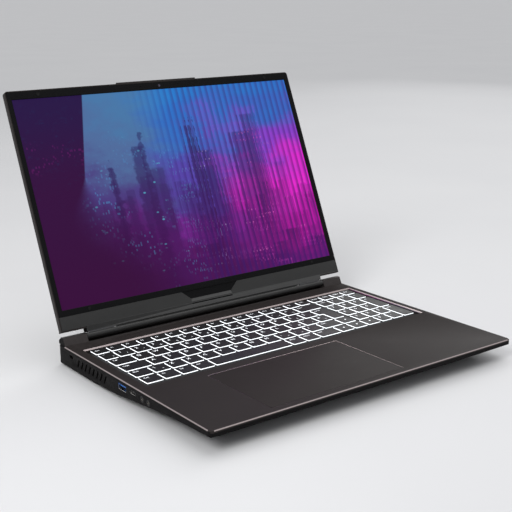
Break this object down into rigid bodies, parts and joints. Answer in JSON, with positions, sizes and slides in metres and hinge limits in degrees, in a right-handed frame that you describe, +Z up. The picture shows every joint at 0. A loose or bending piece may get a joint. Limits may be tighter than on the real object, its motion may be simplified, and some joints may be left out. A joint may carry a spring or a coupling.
{
  "type": "laptop computer",
  "caption": "Open laptop computer: thin metal base with a lit full-size keyboard and an off-centre touchpad, and a friction-hinged lid with a narrow-bezel display.",
  "frame": {"origin": "the middle of the open laptop's bounding box, on the plane that its rubber feet stand on", "axes": "+X to the right of the person using it, +Y away from them towards the screen, +Z up"},
  "size_m": [0.3584, 0.3588, 0.2592],
  "materials": {
    "deck_metal": "anodised, fine satin bead blast, warm dark grey",
    "casing_plastic": "fine textured moulded plastic",
    "lid_metal": "anodised, satin, warm dark grey",
    "bezel_plastic": "fine matte moulded plastic",
    "chin_plastic": "fine satin moulded plastic",
    "keycap": "matte black caps with lit white skirts",
    "key_light": "translucent white, lit from below",
    "keyboard_plate": "black lacquered steel",
    "touchpad_surface": "fine satin",
    "screen": "matte display, showing a picture",
    "camera_glass": "clear over black",
    "rubber": "matte",
    "dark_steel": "satin",
    "socket_metal": "bright nickel",
    "socket_plastic": "moulded",
    "port_tongue": "blue moulded tongue",
    "circuit_board": "solder mask",
    "copper": "bright copper",
    "fin_metal": "plain",
    "battery_wrap": "shrink wrap",
    "fan_plastic": "moulded"
  },
  "bodies": {
    "base": {"deck_cover": "deck_metal", "bottom_cover": "casing_plastic", "rear_grilles": "casing_plastic", "rubber_feet": "rubber", "bottom_screws": "dark_steel", "usb_a_sockets": "socket_metal", "usb_c_sockets": "socket_metal", "audio_jacks": "socket_plastic", "hdmi_socket": "socket_metal", "dc_inlet": "socket_plastic", "hinge_cap_left": "deck_metal", "hinge_cap_right": "deck_metal", "hinge_mount_left": "dark_steel", "hinge_mount_right": "dark_steel", "keyboard_plate": "keyboard_plate", "mainboard": "circuit_board", "cold_plate": "copper", "heat_pipes": "copper", "fin_stacks": "fin_metal", "battery_pack": "battery_wrap", "speakers": "socket_plastic", "memory_modules": "circuit_board", "ssd_module": "circuit_board", "wireless_card": "circuit_board", "fan_housing_left": "fan_plastic", "fan_housing_right": "fan_plastic"},
    "lid": {"lid_back_cover": "lid_metal", "lid_bezel": "bezel_plastic", "lid_chin": "chin_plastic", "hinge_barrel": "chin_plastic", "hinge_arm_left": "dark_steel", "hinge_arm_right": "dark_steel", "lcd_panel": "fin_metal", "screen_glass": "screen", "webcam_board": "circuit_board", "webcam_lens": "camera_glass", "lid_bumpers": "rubber", "display_cable": "socket_plastic", "wifi_antennas": "copper"},
    "touchpad": {"touchpad": "touchpad_surface"},
    "power_button": {"power_button": "deck_metal"},
    "fan_left": {"fan_impeller_left": "fan_plastic"},
    "fan_right": {"fan_impeller_right": "fan_plastic"},
    "key_escape": {"key_escape": "keycap"},
    "keys_function": {"keys_function": "keycap"},
    "keys_media": {"keys_media": "keycap"},
    "keys_digits": {"keys_digits": "keycap"},
    "key_backspace": {"key_backspace": "keycap"},
    "key_tab": {"key_tab": "keycap"},
    "keys_upper_letters": {"keys_upper_letters": "keycap"},
    "key_enter": {"key_enter": "keycap"},
    "key_caps_lock": {"key_caps_lock": "keycap"},
    "keys_home_letters": {"keys_home_letters": "keycap"},
    "key_shift_left": {"key_shift_left": "keycap"},
    "keys_lower_letters": {"keys_lower_letters": "keycap"},
    "key_shift_right": {"key_shift_right": "keycap"},
    "keys_modifier": {"keys_modifier": "keycap"},
    "key_space": {"key_space": "keycap"},
    "keys_arrow": {"keys_arrow": "keycap"},
    "keys_number_pad": {"keys_number_pad": "keycap"}
  },
  "joints": [
    {"name": "lid_hinge", "type": "hinge", "parent": "base", "child": "lid", "pos_m": [0, 0.07527, 0.0248], "axis": [-1, 0, 0], "range_deg": [-113.6, 26.4]},
    {"name": "touchpad_click", "type": "slide", "parent": "base", "child": "touchpad", "axis": [0, 0, -1], "range_m": [0, 0.0004], "stiffness_N_per_m": 4000, "springref_m": -0.0005},
    {"name": "power_button_press", "type": "slide", "parent": "base", "child": "power_button", "axis": [0, 0, -1], "range_m": [0, 0.0006], "stiffness_N_per_m": 1500, "springref_m": -0.0005},
    {"name": "fan_left_spin", "type": "hinge", "parent": "base", "child": "fan_left", "pos_m": [-0.125, 0.01557, 0.00835], "axis": [0, 0, 1], "continuous": true},
    {"name": "fan_right_spin", "type": "hinge", "parent": "base", "child": "fan_right", "pos_m": [0.125, 0.01557, 0.00835], "axis": [0, 0, 1], "continuous": true},
    {"name": "key_escape_press", "type": "slide", "parent": "base", "child": "key_escape", "axis": [0, 0, -1], "range_m": [0, 0.0014], "stiffness_N_per_m": 350, "springref_m": -0.001},
    {"name": "keys_function_press", "type": "slide", "parent": "base", "child": "keys_function", "axis": [0, 0, -1], "range_m": [0, 0.0014], "stiffness_N_per_m": 5250, "springref_m": -0.001},
    {"name": "keys_media_press", "type": "slide", "parent": "base", "child": "keys_media", "axis": [0, 0, -1], "range_m": [0, 0.0014], "stiffness_N_per_m": 1400, "springref_m": -0.001},
    {"name": "keys_digits_press", "type": "slide", "parent": "base", "child": "keys_digits", "axis": [0, 0, -1], "range_m": [0, 0.0014], "stiffness_N_per_m": 4550, "springref_m": -0.001},
    {"name": "key_backspace_press", "type": "slide", "parent": "base", "child": "key_backspace", "axis": [0, 0, -1], "range_m": [0, 0.0014], "stiffness_N_per_m": 350, "springref_m": -0.001},
    {"name": "key_tab_press", "type": "slide", "parent": "base", "child": "key_tab", "axis": [0, 0, -1], "range_m": [0, 0.0014], "stiffness_N_per_m": 350, "springref_m": -0.001},
    {"name": "keys_upper_letters_press", "type": "slide", "parent": "base", "child": "keys_upper_letters", "axis": [0, 0, -1], "range_m": [0, 0.0014], "stiffness_N_per_m": 4200, "springref_m": -0.001},
    {"name": "key_enter_press", "type": "slide", "parent": "base", "child": "key_enter", "axis": [0, 0, -1], "range_m": [0, 0.0014], "stiffness_N_per_m": 350, "springref_m": -0.001},
    {"name": "key_caps_lock_press", "type": "slide", "parent": "base", "child": "key_caps_lock", "axis": [0, 0, -1], "range_m": [0, 0.0014], "stiffness_N_per_m": 350, "springref_m": -0.001},
    {"name": "keys_home_letters_press", "type": "slide", "parent": "base", "child": "keys_home_letters", "axis": [0, 0, -1], "range_m": [0, 0.0014], "stiffness_N_per_m": 4200, "springref_m": -0.001},
    {"name": "key_shift_left_press", "type": "slide", "parent": "base", "child": "key_shift_left", "axis": [0, 0, -1], "range_m": [0, 0.0014], "stiffness_N_per_m": 350, "springref_m": -0.001},
    {"name": "keys_lower_letters_press", "type": "slide", "parent": "base", "child": "keys_lower_letters", "axis": [0, 0, -1], "range_m": [0, 0.0014], "stiffness_N_per_m": 3850, "springref_m": -0.001},
    {"name": "key_shift_right_press", "type": "slide", "parent": "base", "child": "key_shift_right", "axis": [0, 0, -1], "range_m": [0, 0.0014], "stiffness_N_per_m": 350, "springref_m": -0.001},
    {"name": "keys_modifier_press", "type": "slide", "parent": "base", "child": "keys_modifier", "axis": [0, 0, -1], "range_m": [0, 0.0014], "stiffness_N_per_m": 2450, "springref_m": -0.001},
    {"name": "key_space_press", "type": "slide", "parent": "base", "child": "key_space", "axis": [0, 0, -1], "range_m": [0, 0.0014], "stiffness_N_per_m": 350, "springref_m": -0.001},
    {"name": "keys_arrow_press", "type": "slide", "parent": "base", "child": "keys_arrow", "axis": [0, 0, -1], "range_m": [0, 0.0014], "stiffness_N_per_m": 1400, "springref_m": -0.001},
    {"name": "keys_number_pad_press", "type": "slide", "parent": "base", "child": "keys_number_pad", "axis": [0, 0, -1], "range_m": [0, 0.0014], "stiffness_N_per_m": 5950, "springref_m": -0.001}
  ]
}
